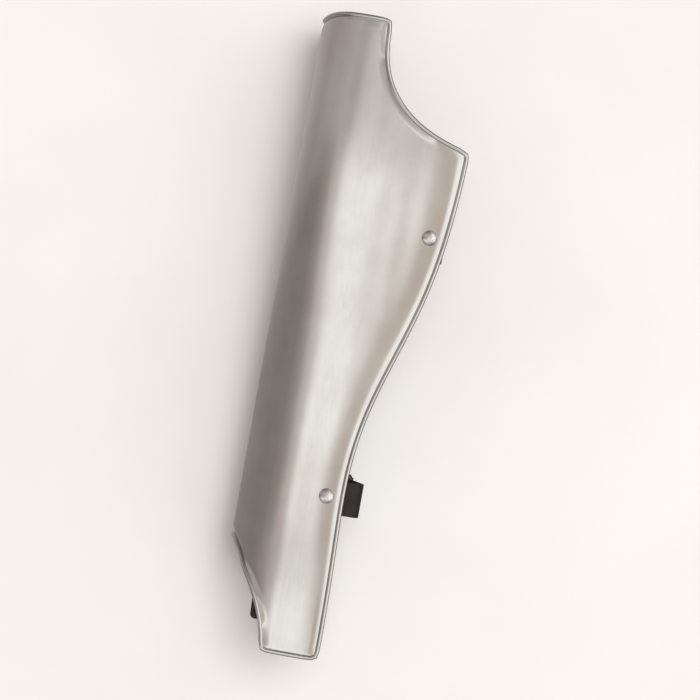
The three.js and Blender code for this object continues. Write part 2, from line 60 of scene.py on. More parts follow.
def addNode(tree, kind, settings=None, links=None):
    # settings go to the node's properties or its sockets, links come from other nodes' outputs
    node = tree.nodes.new(kind)
    for name, value in (settings or {}).items():
        if isinstance(name, int) or name in node.inputs:
            node.inputs[name].default_value = value
        else:
            setattr(node, name, value)
    for name, source in (links or {}).items():
        tree.links.new(source, node.inputs[name])
    return node


def setRamp(node, stops):
    elements = node.color_ramp.elements
    while len(elements) > 1:
        elements.remove(elements[-1])
    elements[0].position, elements[0].color = stops[0]
    for position, value in stops[1:]:
        elements.new(position).color = value


def newMaterial(name):
    material = bpy.data.materials.new(name)
    material.use_nodes = True
    material.node_tree.nodes.clear()
    return material, material.node_tree


def scaleFor(*sizes):
    # Texture scale, in turns a metre, for patterns of these sizes in millimetres
    scales = tuple(1000 / size for size in sizes)
    return scales if len(scales) > 1 else scales[0]


def steelMaterial(name, look):
    # Steel polished on a wheel: streaks run with the polishing, broad waves are left by the hammer
    # and faint warm patches by wear. They break the reflections softly and make the shine uneven.
    material, tree = newMaterial(name)
    place = addNode(tree, "ShaderNodeTexCoord").outputs["Object"]
    streakPlace = addNode(
        tree, "ShaderNodeMapping", {"Scale": scaleFor(*look["streakSize"])}, {"Vector": place})
    streaks = addNode(
        tree, "ShaderNodeTexNoise", {"Scale": 1.0, "Detail": 5.0, "Roughness": 0.6},
        {"Vector": streakPlace.outputs["Vector"]})
    wavePlace = addNode(
        tree, "ShaderNodeMapping", {"Scale": scaleFor(*look["waveSize"])}, {"Vector": place})
    waves = addNode(
        tree, "ShaderNodeTexNoise", {"Scale": 1.0, "Detail": 1.0, "Roughness": 0.4},
        {"Vector": wavePlace.outputs["Vector"]})
    stainScale = scaleFor(look["stainSize"])
    stains = addNode(
        tree, "ShaderNodeTexNoise", {"Scale": stainScale, "Detail": 4.0, "Roughness": 0.62},
        {"Vector": place})
    tint = addNode(tree, "ShaderNodeValToRGB", links={"Fac": stains.outputs["Fac"]})
    tintFrom, tintTo = look["tintSpread"]
    setRamp(tint, [(tintFrom, colour(look["worn"])), (tintTo, colour(look["clean"]))])
    smoothest, roughest = look["roughness"]
    streaksFrom, streaksTo = look["streakSpread"]
    rough = addNode(
        tree, "ShaderNodeMapRange",
        {"From Min": streaksFrom, "From Max": streaksTo, "To Min": smoothest, "To Max": roughest},
        {"Value": streaks.outputs["Fac"]})
    waveBump = addNode(
        tree, "ShaderNodeBump", {"Strength": 1.0, "Distance": look["waveHeight"]},
        {"Height": waves.outputs["Fac"]})
    streakBump = addNode(
        tree, "ShaderNodeBump", {"Strength": 1.0, "Distance": look["streakHeight"]},
        {"Height": streaks.outputs["Fac"], "Normal": waveBump.outputs["Normal"]})
    shader = addNode(
        tree, "ShaderNodeBsdfPrincipled", {"Metallic": 1.0},
        {"Base Color": tint.outputs["Color"], "Roughness": rough.outputs["Result"],
         "Normal": streakBump.outputs["Normal"]})
    addNode(tree, "ShaderNodeOutputMaterial", links={"Surface": shader.outputs["BSDF"]})
    return material


def leatherMaterial(name, look):
    # Vegetable-tanned cowhide dyed dark and oiled: fine pebbled grain, creases where it bends, and
    # paler rubbed spots. It reads as soft dull leather against the steel.
    material, tree = newMaterial(name)
    place = addNode(tree, "ShaderNodeTexCoord").outputs["Object"]
    grain = addNode(tree, "ShaderNodeTexVoronoi", {"Scale": scaleFor(look["grainSize"])}, {"Vector": place})
    creaseScale, rubbedScale = scaleFor(look["creaseSize"]), scaleFor(look["rubbedSize"])
    creases = addNode(
        tree, "ShaderNodeTexNoise", {"Scale": creaseScale, "Detail": 6.0, "Roughness": 0.65},
        {"Vector": place})
    rubbed = addNode(
        tree, "ShaderNodeTexNoise", {"Scale": rubbedScale, "Detail": 3.0}, {"Vector": place})
    tint = addNode(tree, "ShaderNodeValToRGB", links={"Fac": rubbed.outputs["Fac"]})
    tintFrom, tintTo = look["tintSpread"]
    setRamp(tint, [(tintFrom, colour(look["dark"])), (tintTo, colour(look["rubbed"]))])
    smoothest, roughest = look["roughness"]
    rough = addNode(
        tree, "ShaderNodeMapRange", {"To Min": smoothest, "To Max": roughest},
        {"Value": creases.outputs["Fac"]})
    creaseBump = addNode(
        tree, "ShaderNodeBump", {"Strength": 1.0, "Distance": look["creaseHeight"]},
        {"Height": creases.outputs["Fac"]})
    grainBump = addNode(
        tree, "ShaderNodeBump", {"Strength": 1.0, "Distance": look["grainHeight"]},
        {"Height": grain.outputs["Distance"], "Normal": creaseBump.outputs["Normal"]})
    shader = addNode(
        tree, "ShaderNodeBsdfPrincipled", {"Specular IOR Level": 0.4},
        {"Base Color": tint.outputs["Color"], "Roughness": rough.outputs["Result"],
         "Normal": grainBump.outputs["Normal"]})
    addNode(tree, "ShaderNodeOutputMaterial", links={"Surface": shader.outputs["BSDF"]})
    return material


# Sizes are in millimetres and heights in metres. The grit of a polishing wheel leaves lines of about
# 0.1 mm, too fine to show here, so they are drawn 1.1 mm wide and 70 mm long. The waves are as wide as
# a hammer's face and run the length of the plate.
plateLook = {
    "clean": "#dedddb", "worn": "#d4d1ce", "tintSpread": (0.3, 0.62), "roughness": (0.1, 0.13),
    "streakSize": (1.1, 70.0, 1.1), "streakHeight": 0.000002, "streakSpread": (0.3, 0.7),
    "waveSize": (29.4, 555.0, 29.4), "waveHeight": 0.00036, "stainSize": 45.0,
}
rivetLook = dict(
    plateLook, clean="#f3f1ee", worn="#d2cdc7", roughness=(0.22, 0.36), waveSize=(3.85, 3.85, 3.85),
    waveHeight=0.00012, streakSize=(1.4, 1.4, 1.4), stainSize=3.3)
buckleLook = dict(rivetLook, clean="#a59c93", worn="#6d645c", roughness=(0.3, 0.5))
# Pebbles of 0.9 mm, creases of 6 mm and rubbed spots of 11 mm
strapLook = {
    "dark": "#201b18", "rubbed": "#2f2824", "tintSpread": (0.35, 0.7), "roughness": (0.48, 0.7),
    "grainSize": 0.9, "grainHeight": 0.00012, "creaseSize": 6.25, "creaseHeight": 0.0004,
    "rubbedSize": 11.0,
}
plateSteel = steelMaterial("steel_wheel_polished", plateLook)
rivetSteel = steelMaterial("steel_rivet_hand_domed", rivetLook)
buckleSteel = steelMaterial("steel_buckle_dulled", buckleLook)
strapLeather = leatherMaterial("cowhide_dark_oiled", strapLook)
print("materials made")


# Meshes

def addPiece(name, points, faces, material, nodeName, sharpAngle=35):
    mesh = bpy.data.meshes.new(name)
    mesh.from_pydata([toFloor @ Vector(point) for point in points], [], faces)
    mesh.materials.append(material)
    mesh.polygons.foreach_set("use_smooth", [True] * len(mesh.polygons))
    mesh.set_sharp_from_angle(angle=math.radians(sharpAngle))
    mesh.update()
    piece = bpy.data.objects.new(name, mesh)
    bpy.context.collection.objects.link(piece)
    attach(piece, "root")
    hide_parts(nodeName)


def lerp(a, b, t):
    return a + (b - a) * t


# The shin plate

plate = {
    "length": 408.0, "depth": 107.0, "halfWidth": 56.5, "sheet": 1.2,
    "bead": 2.8, "beadFrom": 215, "beadTo": -90, "flareWidth": 4.4, "frontFlare": 0.7, "backFlare": -0.38,
    "calmNearCorners": 25.0, "kneeRimSink": 0.6, "instepRimSink": 1.0,
    "squareCornerTurn": 50.0, "mostCornerStretch": 1.28, "cornerSharpness": 8,
    "ridgeKeenness": 1.7, "sideFlatness": 8.0, "backSpread": 0.7,
    "kneeTabDepth": 45.0, "calfCornerHeight": 335.0, "kneeCutTilt": 16.7, "kneeCutSquareness": 0.8,
    "flapFrontDepth": 29.5, "instepHeight": 65.5, "instepReachPower": 0.91, "instepRisePower": 1.29,
    "cornerRadius": 1.6, "cornerSearchStep": 0.002,
    "kneeSteps": 20, "cutSteps": 28, "backSteps": 60, "cornerSteps": 6, "beadSteps": 22, "flareSteps": 6,
}

# Sections at equal steps from ankle to knee, as shares of the half width, the depth and the flatness
sections = [
    {"halfWidth": 0.84, "widest": 0.44, "backEdge": 0.645, "flatness": 0.6},
    {"halfWidth": 0.8, "widest": 0.42, "backEdge": 0.645, "flatness": 0.55},
    {"halfWidth": 0.72, "widest": 0.39, "backEdge": 0.634, "flatness": 0.5},
    {"halfWidth": 0.7, "widest": 0.39, "backEdge": 0.625, "flatness": 0.5},
    {"halfWidth": 0.77, "widest": 0.42, "backEdge": 0.68, "flatness": 0.55},
    {"halfWidth": 0.86, "widest": 0.46, "backEdge": 0.805, "flatness": 0.65},
    {"halfWidth": 0.94, "widest": 0.5, "backEdge": 0.92, "flatness": 0.85},
    {"halfWidth": 1.0, "widest": 0.52, "backEdge": 0.975, "flatness": 1.0},
    {"halfWidth": 1.01, "widest": 0.52, "backEdge": 1.0, "flatness": 1.0},
    {"halfWidth": 0.99, "widest": 0.5, "backEdge": 1.01, "flatness": 0.9},
    {"halfWidth": 0.99, "widest": 0.48, "backEdge": 1.01, "flatness": 0.8},
]

rimWidth = plate["flareWidth"] + plate["bead"]
kneeLine = plate["length"] - rimWidth
calfLine = plate["calfCornerHeight"] - rimWidth
ankleLine = rimWidth


def along(column, height):
    # A smooth curve through one column of the sections
    last = len(sections) - 1
    place = min(max(height / plate["length"], 0), 1) * last
    row = min(int(place), last - 1)
    t = place - row
    weights = ((1 - t) ** 3, 3 * t**3 - 6 * t**2 + 4, 1 + 3 * t + 3 * t**2 - 3 * t**3, t**3)
    rows = [sections[min(max(row + i - 1, 0), last)][column] for i in range(4)]
    return sum(w * r for w, r in zip(weights, rows)) / 6


def widestAt(height):
    return along("widest", height) * plate["depth"]


def backEdgeAt(height):
    return along("backEdge", height) * plate["depth"]


def angleAt(depth, height):
    return math.acos(min(max(1 - depth / widestAt(height), -1), 1))


def platePoint(angle, height):
    turn = math.cos(angle)
    reach = turn if turn > 0 else -turn * plate["backSpread"]
    bow = (1 - reach ** (along("flatness", height) * plate["sideFlatness"])) ** (plate["ridgeKeenness"] / 2)
    sideways = math.copysign(1, angle) * along("halfWidth", height) * plate["halfWidth"] * bow
    return Vector((widestAt(height) * (1 - turn), height, sideways if angle else 0.0))


def plateNormal(angle, height):
    turnStep, heightStep = 0.01, 1
    around = platePoint(angle + turnStep, height) - platePoint(angle - turnStep, height)
    up = platePoint(angle, height + heightStep) - platePoint(angle, height - heightStep)
    return around.cross(up).normalized()


def baseEdgeAt(height):
    return backEdgeAt(height) - rimWidth


tabAngle = angleAt(plate["kneeTabDepth"] - rimWidth, kneeLine)
toeAngle = angleAt(plate["flapFrontDepth"] + rimWidth, ankleLine)
heelAngle = angleAt(baseEdgeAt(ankleLine), ankleLine)


def kneeEdge(t):
    return (t * tabAngle, kneeLine)


def kneeCut(t):
    turn = t * math.pi / 2
    tabDepth = plate["kneeTabDepth"] - rimWidth
    cutDepth = baseEdgeAt(calfLine) - tabDepth
    back = 1 - max(math.cos(turn), 0) ** plate["kneeCutSquareness"]
    drop = (kneeLine - calfLine - plate["kneeCutTilt"]) * math.sin(turn) ** plate["kneeCutSquareness"]
    height = kneeLine - drop - plate["kneeCutTilt"] * back
    return (angleAt(tabDepth + back * cutDepth, height), height)


def backEdge(t):
    height = lerp(calfLine, ankleLine, t)
    return (angleAt(baseEdgeAt(height), height), height)


def flapEdge(t):
    return (lerp(heelAngle, toeAngle, t), ankleLine)


def instepArch(t):
    turn = t * math.pi / 2
    rise = plate["instepHeight"] - ankleLine + rimWidth
    return (toeAngle * max(math.cos(turn), 0) ** plate["instepReachPower"],
            ankleLine + rise * math.sin(turn) ** plate["instepRisePower"])


def spacing(a, b):
    return (platePoint(*a) - platePoint(*b)).length


def wingEdge():
    # The near wing's edge line from the ridge at the knee to the ridge at the instep
    sides = [
        (kneeEdge, plate["kneeSteps"]), (kneeCut, plate["cutSteps"]), (backEdge, plate["backSteps"]),
        (flapEdge, plate["cutSteps"]), (instepArch, plate["kneeSteps"]),
    ]

    def cornerShare(edge, fromStart):
        share = 0.0
        start = edge(0.0 if fromStart else 1.0)
        while spacing(start, edge(share if fromStart else 1 - share)) < plate["cornerRadius"]:
            share += plate["cornerSearchStep"]
        return share

    line = []
    for index, (edge, steps) in enumerate(sides):
        first = cornerShare(edge, True) if index > 0 else 0.0
        last = 1 - cornerShare(edge, False) if index < len(sides) - 1 else 1.0
        if index > 0:
            a, b, c = line[-1], edge(0.0), edge(first)
            for step in range(1, plate["cornerSteps"]):
                t = step / plate["cornerSteps"]
                line.append(tuple(
                    (1 - t) ** 2 * a[k] + 2 * t * (1 - t) * b[k] + t * t * c[k] for k in (0, 1)))
        line += [edge(lerp(first, last, step / steps)) for step in range(steps + 1)]
    return line


def runningShares(line):
    sums = [0.0]
    for a, b in zip(line, line[1:]):
        sums.append(sums[-1] + spacing(a, b))
    return [s / sums[-1] for s in sums]


def plateNet():
    # Rows from knee to ankle and columns from the near back edge over the ridge to the far one
    edge = wingEdge()
    calf = plate["kneeSteps"] + plate["cutSteps"] + plate["cornerSteps"] * 3 // 2
    heel = calf + plate["backSteps"] + plate["cornerSteps"]

    def mirrored(points):
        return [(-x, y) for x, y in points]

    knee = edge[: calf + 1][::-1] + mirrored(edge[:calf + 1][1:])
    ankle = edge[heel:] + mirrored(edge[heel:-1][::-1])
    near = edge[calf : heel + 1]
    far = mirrored(near)
    down = runningShares(near)
    across = [(a + b) / 2 for a, b in zip(runningShares(knee), runningShares(ankle))]
    net = []
    for i, v in enumerate(down):
        row = []
        for j, u in enumerate(across):
            row.append(tuple(
                knee[j][k] * (1 - v) + ankle[j][k] * v + near[i][k] * (1 - u) + far[i][k] * u
                - near[0][k] * (1 - u) * (1 - v) - far[0][k] * u * (1 - v)
                - near[-1][k] * (1 - u) * v - far[-1][k] * u * v for k in (0, 1)))
        net.append(row)
    return net


def rimProfile():
    # Out along the sheet and up from its middle: the flare, the rolled bead, and back underneath
    half = plate["sheet"] / 2
    radius = plate["bead"] / 2
    middleOut, middleUp = rimWidth - radius, radius - half
    flare = [plate["flareWidth"] * step / plate["flareSteps"] for step in range(plate["flareSteps"] + 1)]
    profile = [(out, half) for out in flare]
    for step in range(plate["beadSteps"] + 1):
        angle = math.radians(lerp(plate["beadFrom"], plate["beadTo"], step / plate["beadSteps"]))
        profile.append((middleOut + radius * math.cos(angle), middleUp + radius * math.sin(angle)))
    return profile + [(out, -half) for out in reversed(flare)]


def cornerStretch(outward, k):
    # How much further out the rim reaches at a corner, so that the corner is square with a small round
    apart = plate["cornerSteps"] // 2 + 1
    before, after = outward[k - apart], outward[(k + apart) % len(outward)]
    if before.angle(after) < math.radians(plate["squareCornerTurn"]):
        return 1.0
    turn = min(outward[k].angle(before), outward[k].angle(after))
    sharpness = plate["cornerSharpness"]
    return (math.cos(turn) ** sharpness + plate["mostCornerStretch"] ** -sharpness) ** (-1 / sharpness)


def shinPlate():
    net = plateNet()
    lastRow, lastColumn = len(net) - 1, len(net[0]) - 1
    half = plate["sheet"] / 2
    points, faces = [], []
    middles = [[platePoint(*spot) for spot in row] for row in net]
    normals = [[plateNormal(*spot) for spot in row] for row in net]

    def layer(offset):
        rows = []
        for middleRow, normalRow in zip(middles, normals):
            rows.append(list(range(len(points), len(points) + len(middleRow))))
            points.extend(m + n * offset for m, n in zip(middleRow, normalRow))
        return rows

    outer, inner = layer(half), layer(-half)
    for i in range(lastRow):
        for j in range(lastColumn):
            faces.append((outer[i][j], outer[i + 1][j], outer[i + 1][j + 1], outer[i][j + 1]))
            faces.append((inner[i][j], inner[i][j + 1], inner[i + 1][j + 1], inner[i + 1][j]))
    ring = [(0, j) for j in range(lastColumn)] + [(i, lastColumn) for i in range(lastRow)]
    ring += [(lastRow, j) for j in range(lastColumn, 0, -1)] + [(i, 0) for i in range(lastRow, 0, -1)]
    profile = rimProfile()
    outward = []
    for k, (i, j) in enumerate(ring):
        here = middles[i][j]
        before, after = ring[k - 1], ring[(k + 1) % len(ring)]
        forward = (here - middles[before[0]][before[1]]).normalized()
        forward += (middles[after[0]][after[1]] - here).normalized()
        outward.append(forward.cross(normals[i][j]).normalized())
    ridgeSinks = {0: plate["kneeRimSink"], lastRow: plate["instepRimSink"]}
    cornerSpots = [(tabAngle, kneeLine), backEdge(0), (toeAngle, ankleLine)]
    corners = [platePoint(side * angle, height) for side in (1, -1) for angle, height in cornerSpots]
    rim = []
    for k, (i, j) in enumerate(ring):
        here, up = middles[i][j], normals[i][j]
        push = rimWidth * (cornerStretch(outward, k) - 1)
        sink = ridgeSinks.get(i, 0.0) * max(-up.x, 0)
        # The sheet turns up along the instep and the knee cut, and slightly down along the other edges
        turnedUp = max(-outward[k].x, 2 * outward[k].x * outward[k].y, 0)
        calm = min(min((here - corner).length for corner in corners) / plate["calmNearCorners"], 1)
        lift = lerp(plate["backFlare"], plate["frontFlare"], turnedUp * calm * calm * (3 - 2 * calm))
        between = list(range(len(points), len(points) + len(profile) - 2))
        for out, rise in profile[1:-1]:
            share = min(out / plate["flareWidth"], 1)
            raised = rise + lift * share**2 - sink * share
            points.append(here + outward[k] * (out + push * share) + up * raised)
        rim.append([outer[i][j], *between, inner[i][j]])
    for k, here in enumerate(rim):
        following = rim[(k + 1) % len(rim)]
        for p in range(len(here) - 1):
            faces.append((following[p], following[p + 1], here[p + 1], here[p]))
    addPiece("shin_plate_polished", points, faces, plateSteel, "shin_plate", 50)


shinPlate()
print("shin plate made")


# Leather that lies inside a wing, and the fastenings across the back

strap = {
    "width": 22.0, "thickness": 2.0, "endLap": 10.0, "pastRivet": 3.5, "innerEndRadius": 3.0,
    "upperHeight": 276.0, "lowerHeight": 104.0, "tailLength": 11.5,
    "upperBulge": -8.5, "lowerBulge": 9.5, "lowerBuckleBulge": -8.5, "bendShare": 0.6, "bendRun": 5.0,
    "clearance": 0.3, "edgeRadius": 0.55, "edgeSteps": 4, "stepLength": 1.0, "curveSteps": 400,
    "eyeSteps": 10, "eyeStepTurn": 30,
}
rivetSizes = {
    "head": 10.0, "headHeight": 2.8, "headUndercut": 0.25, "shank": 3.2,
    "burr": 5.4, "burrHeight": 0.9, "burrBevel": 0.5, "burrCrown": 0.15, "inset": 11.5,
    "steps": 48, "domeSteps": 12,
}
buckleSizes = {
    "bar": 2.5, "length": 19.0, "fromEdge": 14.0, "sideRoom": 0.42, "barRadius": 1.1, "sides": 16,
    "tongueWidth": 2.6, "tongueThickness": 1.6, "tongueTaper": 0.75, "tongueSteps": 24,
    "cornerRadius": 4.5, "cornerSteps": 8,
}
upright = Vector((0, 1, 0))


def insidePoint(depth, height, side):
    angle = side * angleAt(depth, height)
    offset = plate["sheet"] / 2 + strap["clearance"] + strap["thickness"] / 2
    return platePoint(angle, height) - plateNormal(angle, height) * offset


def lining(depth, height, side, stepDepth=0.0, stepHeight=strap["width"] / 2):
    # A point on the leather's middle line and the direction across it, flat and clear of the sheet
    one = insidePoint(depth + stepDepth, height + stepHeight, side)
    other = insidePoint(depth - stepDepth, height - stepHeight, side)
    middle = insidePoint(depth, height, side)
    inward = -plateNormal(side * angleAt(depth, height), height)
    lift = max(((one + other) / 2 - middle).dot(inward), 0)
    return middle + inward * (lift + strap["clearance"]), (one - other).normalized()


def fastening(height, nearBulge, farBulge):
    edge = backEdgeAt(height)
    bend = strap["bendShare"] * buckleSizes["fromEdge"]
    wall = lining(edge - rimWidth, height, 1)[0].z
    near = Vector((edge + nearBulge, height, wall - bend))
    far = Vector((edge + farBulge, height, bend - wall))
    run = (far - near).normalized()
    out = run.cross(upright)
    eye = buckleSizes["bar"] * math.sqrt(0.5) + strap["clearance"] + strap["thickness"] / 2
    hinge = far - run * (buckleSizes["fromEdge"] - bend + eye) + out * eye
    return {"height": height, "edge": edge, "wall": wall, "nearBulge": nearBulge, "near": near,
            "far": far, "run": run, "out": out, "eye": eye, "hinge": hinge}


def local(f, alongRun, outward):
    spot = f["hinge"] + f["run"] * alongRun + f["out"] * outward
    return Vector((spot.x, f["height"], spot.z))


def riveted(f, side):
    inset = rivetSizes["inset"]
    insets = (inset + strap["endLap"], inset, inset - strap["pastRivet"])
    return [lining(f["edge"] - place, f["height"], side) for place in insets]


# Depth and height along the lower strap's inner end, with the turn of its width in degrees
innerEndSpots = [
    {"depth": 32.3, "height": 20.0, "turn": 0},
    {"depth": 31.6, "height": 36.0, "turn": 0},
    {"depth": 31.2, "height": 52.0, "turn": 0},
    {"depth": 34.5, "height": 68.0, "turn": 10},
    {"depth": 37.5, "height": 82.0, "turn": 28},
    {"depth": 43.0, "height": 94.0, "turn": 52},
    {"depth": 50.0, "height": 101.5, "turn": 76},
]


def innerEnd():
    stations = []
    for spot in innerEndSpots:
        turn = math.radians(spot["turn"])
        half = strap["width"] / 2
        stations.append(
            lining(spot["depth"], spot["height"], 1, -half * math.cos(turn), half * math.sin(turn)))
    return stations


# Round the near wing's edge: shares of the bulge past it, and the drop below the leather on the wing
bendSpots = [{"share": 0.72, "drop": 1.2}, {"share": 1.02, "drop": 5.5}]


def nearBend(f):
    if f["nearBulge"] <= 0:
        return [(f["near"], upright)]
    line = [lining(f["edge"], f["height"], 1)]
    for spot in bendSpots:
        depth = f["edge"] + f["nearBulge"] * spot["share"]
        line.append((Vector((depth, f["height"], f["wall"] - spot["drop"])), upright))
    return line + [(f["near"] + f["run"] * strap["bendRun"], upright)]


def strapLine(f, start):
    # Under the buckle's far bar, over its hinge bar and down onto the tab: how far along the run from
    # the hinge, where minus is towards the near wing, and how far out
    length, bar = buckleSizes["length"], buckleSizes["bar"]
    over = f["eye"] + strap["thickness"] + strap["clearance"]
    under = -(bar / 2 + strap["clearance"] + strap["thickness"] / 2)
    onTab = -f["eye"] + strap["thickness"] + 3 * strap["clearance"]
    spots = [
        (-length - 3, under), (-length + bar + 1, under), (-length * 0.5, (under + over) / 2 + 0.4),
        (-2.5, over + 0.3), (2, over + 0.2), (7, onTab + 1.8), (strap["tailLength"], onTab + 1.6),
    ]
    return start + nearBend(f) + [(local(f, *spot), upright) for spot in spots]


def tabLine(f):
    # From the far wing's rivet to the hinge bar and round it
    eye = []
    for step in range(strap["eyeSteps"]):
        turn = math.radians(-90 - strap["eyeStepTurn"] * step)
        eye.append((local(f, f["eye"] * math.cos(turn), f["eye"] * math.sin(turn)), upright))
    return riveted(f, -1) + [(f["far"], upright)] + eye


def curveThrough(points, count):
    # A smooth curve through the points, which stays tight where they lie close together
    ends = [points[0] * 2 - points[1], *points, points[-1] * 2 - points[-2]]
    found = []
    for n in range(count + 1):
        place = n / count * (len(points) - 1)
        i = min(int(place), len(points) - 2)
        w = place - i
        p0, p1, p2, p3 = ends[i : i + 4]
        d0, d1, d2 = ((b - a).length ** 0.5 for a, b in ((p0, p1), (p1, p2), (p2, p3)))
        d1 = d1 if d1 > 1e-4 else 1.0
        d0 = d0 if d0 > 1e-4 else d1
        d2 = d2 if d2 > 1e-4 else d1
        t1 = ((p1 - p0) / d0 - (p2 - p0) / (d0 + d1) + (p2 - p1) / d1) * d1
        t2 = ((p2 - p1) / d1 - (p3 - p1) / (d1 + d2) + (p3 - p2) / d2) * d1
        found.append(p1 + t1 * w + (t1 * -2 - t2 + (p2 - p1) * 3) * w**2 + (t1 + t2 + (p1 - p2) * 2) * w**3)
    return found


def bandSection(reach):
    # The leather's section with rounded edges: shares across and up, from the lower left round
    half = strap["thickness"] / 2
    radius = min(strap["edgeRadius"], reach * 0.45)  # a narrow end keeps a flat between its edges
    lift = min(radius, half * 0.95)
    corners = [(-1, -1, 180), (1, -1, 270), (1, 1, 0), (-1, 1, 90)]
    outline = []
    for x, y, start in corners:
        centre = (x * (reach - radius), y * (half - lift))
        for step in range(strap["edgeSteps"]):
            angle = math.radians(start + 90 * step / (strap["edgeSteps"] - 1))
            outline.append((centre[0] + radius * math.cos(angle), centre[1] + lift * math.sin(angle)))
    return outline


# Turns at which a rounded end has a section, closest together at the tip
endTurns = (8, 16, 26, 36, 46, 56, 66, 76)


def band(name, stations, startRadius, endRadius, nodeName):
    # A strip of leather along stations, with the corners of its two ends rounded by these radii
    count = strap["curveSteps"]
    middles = curveThrough([s[0] for s in stations], count)
    acrosses = curveThrough([s[1] for s in stations], count)
    lengths = np.concatenate([[0], np.cumsum([(b - a).length for a, b in zip(middles, middles[1:])])])
    total = lengths[-1]
    half = strap["width"] / 2

    def endPlaces(radius):
        return [radius * (1 - math.cos(math.radians(turn))) for turn in endTurns if radius]

    def inset(radius, distance):
        return radius - math.sqrt(radius**2 - (radius - distance) ** 2) if distance < radius else 0.0

    between = int((total - startRadius - endRadius) / strap["stepLength"])
    places = endPlaces(startRadius) + list(np.linspace(startRadius, total - endRadius, between))
    places += [total - place for place in reversed(endPlaces(endRadius))]
    points, faces = [], []
    for place in places:
        index = float(np.interp(place, lengths, np.arange(count + 1)))
        low = min(int(index), count - 1)
        t = index - low
        middle = middles[low].lerp(middles[low + 1], t)
        forward = (middles[min(low + 2, count)] - middles[max(low - 1, 0)]).normalized()
        side = acrosses[low].lerp(acrosses[low + 1], t)
        side = (side - forward * side.dot(forward)).normalized()
        up = forward.cross(side)
        reach = half - inset(startRadius, place) - inset(endRadius, total - place)
        points.extend(middle + side * s + up * n for s, n in bandSection(reach))
    size = len(bandSection(half))
    for ring in range(len(places) - 1):
        for k in range(size):
            a, b = ring * size + k, ring * size + (k + 1) % size
            faces.append((a, b, b + size, a + size))
    faces.append(tuple(range(size))[::-1])
    faces.append(tuple(range(len(points) - size, len(points))))
    addPiece(name, points, faces, strapLeather, nodeName, 60)


upper = fastening(strap["upperHeight"], strap["upperBulge"], strap["upperBulge"])
lower = fastening(strap["lowerHeight"], strap["lowerBulge"], strap["lowerBuckleBulge"])
roundEnd = strap["width"] / 2
lowerStart = innerEnd() + riveted(lower, 1)[1:]
band("strap_upper_leather", strapLine(upper, riveted(upper, 1)), roundEnd, roundEnd, "strap_upper")
band("strap_lower_leather", strapLine(lower, lowerStart), strap["innerEndRadius"], roundEnd, "strap_lower")
band("buckle_tab_upper_leather", tabLine(upper), roundEnd, 0.0, "buckle_tab_upper")
band("buckle_tab_lower_leather", tabLine(lower), roundEnd, 0.0, "buckle_tab_lower")
print("straps made")


# Rivets

def rivet(name, height, side, nodeName):
    depth = backEdgeAt(height) - rivetSizes["inset"]
    angle = side * angleAt(depth, height)
    seat = platePoint(angle, height)
    normal = plateNormal(angle, height)
    across = normal.cross(Vector((1, 0, 0))).normalized()
    third = normal.cross(across)
    leather = (lining(depth, height, side)[0] - seat).length
    burrSeat = -(leather + strap["thickness"] / 2 + 2 * strap["clearance"])
    burrEnd = burrSeat - rivetSizes["burrHeight"]
    top = plate["sheet"] / 2 + strap["clearance"]
    head, shank, burr = (rivetSizes[size] / 2 for size in ("head", "shank", "burr"))
    # Radius and height from the dome's top down to the burr on the leather
    profile = []
    for step in range(rivetSizes["domeSteps"] + 1):
        turn = step / rivetSizes["domeSteps"] * math.pi / 2
        profile.append((head * math.sin(turn), top + rivetSizes["headHeight"] * math.cos(turn)))
    profile += [
        (head - rivetSizes["headUndercut"], top), (shank, top), (shank, burrSeat),
        (burr, burrSeat), (burr, burrEnd),
        (burr - rivetSizes["burrBevel"], burrEnd - rivetSizes["burrCrown"]),
    ]
    steps = rivetSizes["steps"]
    points, faces = [seat + normal * profile[0][1]], []
    for radius, rise in profile[1:]:
        for step in range(steps):
            turn = 2 * math.pi * step / steps
            spoke = across * math.cos(turn) + third * math.sin(turn)
            points.append(seat + normal * rise + spoke * radius)
    points.append(seat + normal * profile[-1][1])
    rings = len(profile) - 1
    for step in range(steps):
        following = (step + 1) % steps
        faces.append((0, 1 + step, 1 + following))
        for ring in range(rings - 1):
            a, b = 1 + ring * steps + step, 1 + ring * steps + following
            faces.append((a, a + steps, b + steps, b))
        faces.append((1 + (rings - 1) * steps + step, len(points) - 1, 1 + (rings - 1) * steps + following))
    addPiece(name, points, faces, rivetSteel, nodeName, 40)


for place, height in (("upper", strap["upperHeight"]), ("lower", strap["lowerHeight"])):
    for wing, side in (("near", 1), ("far", -1)):
        rivet(f"rivet_{place}_{wing}_domed", height, side, f"rivet_{place}_{wing}")
print("rivets made")


# Buckles

def tube(points, faces, line, radii, acrossLine, isClosed):
    # A bar along a line: radii are half its width and half its thickness at each point
    sides = buckleSizes["sides"]
    first = len(points)
    count = len(line)
    for i, here in enumerate(line):
        before = line[i - 1] if isClosed or i else here
        after = line[(i + 1) % count] if isClosed or i < count - 1 else here
        forward = (after - before).normalized()
        up = acrossLine[i]
        side = forward.cross(up).normalized()
        for k in range(sides):
            turn = 2 * math.pi * k / sides
            points.append(here + side * math.cos(turn) * radii[i][0] + up * math.sin(turn) * radii[i][1])
    for i in range(count if isClosed else count - 1):
        for k in range(sides):
            a, b = first + i * sides + k, first + i * sides + (k + 1) % sides
            following = first + (i + 1) % count * sides
            faces.append((a, b, following + (k + 1) % sides, following + k))
    if not isClosed:
        faces.append(tuple(range(first, first + sides))[::-1])
        faces.append(tuple(range(len(points) - sides, len(points))))


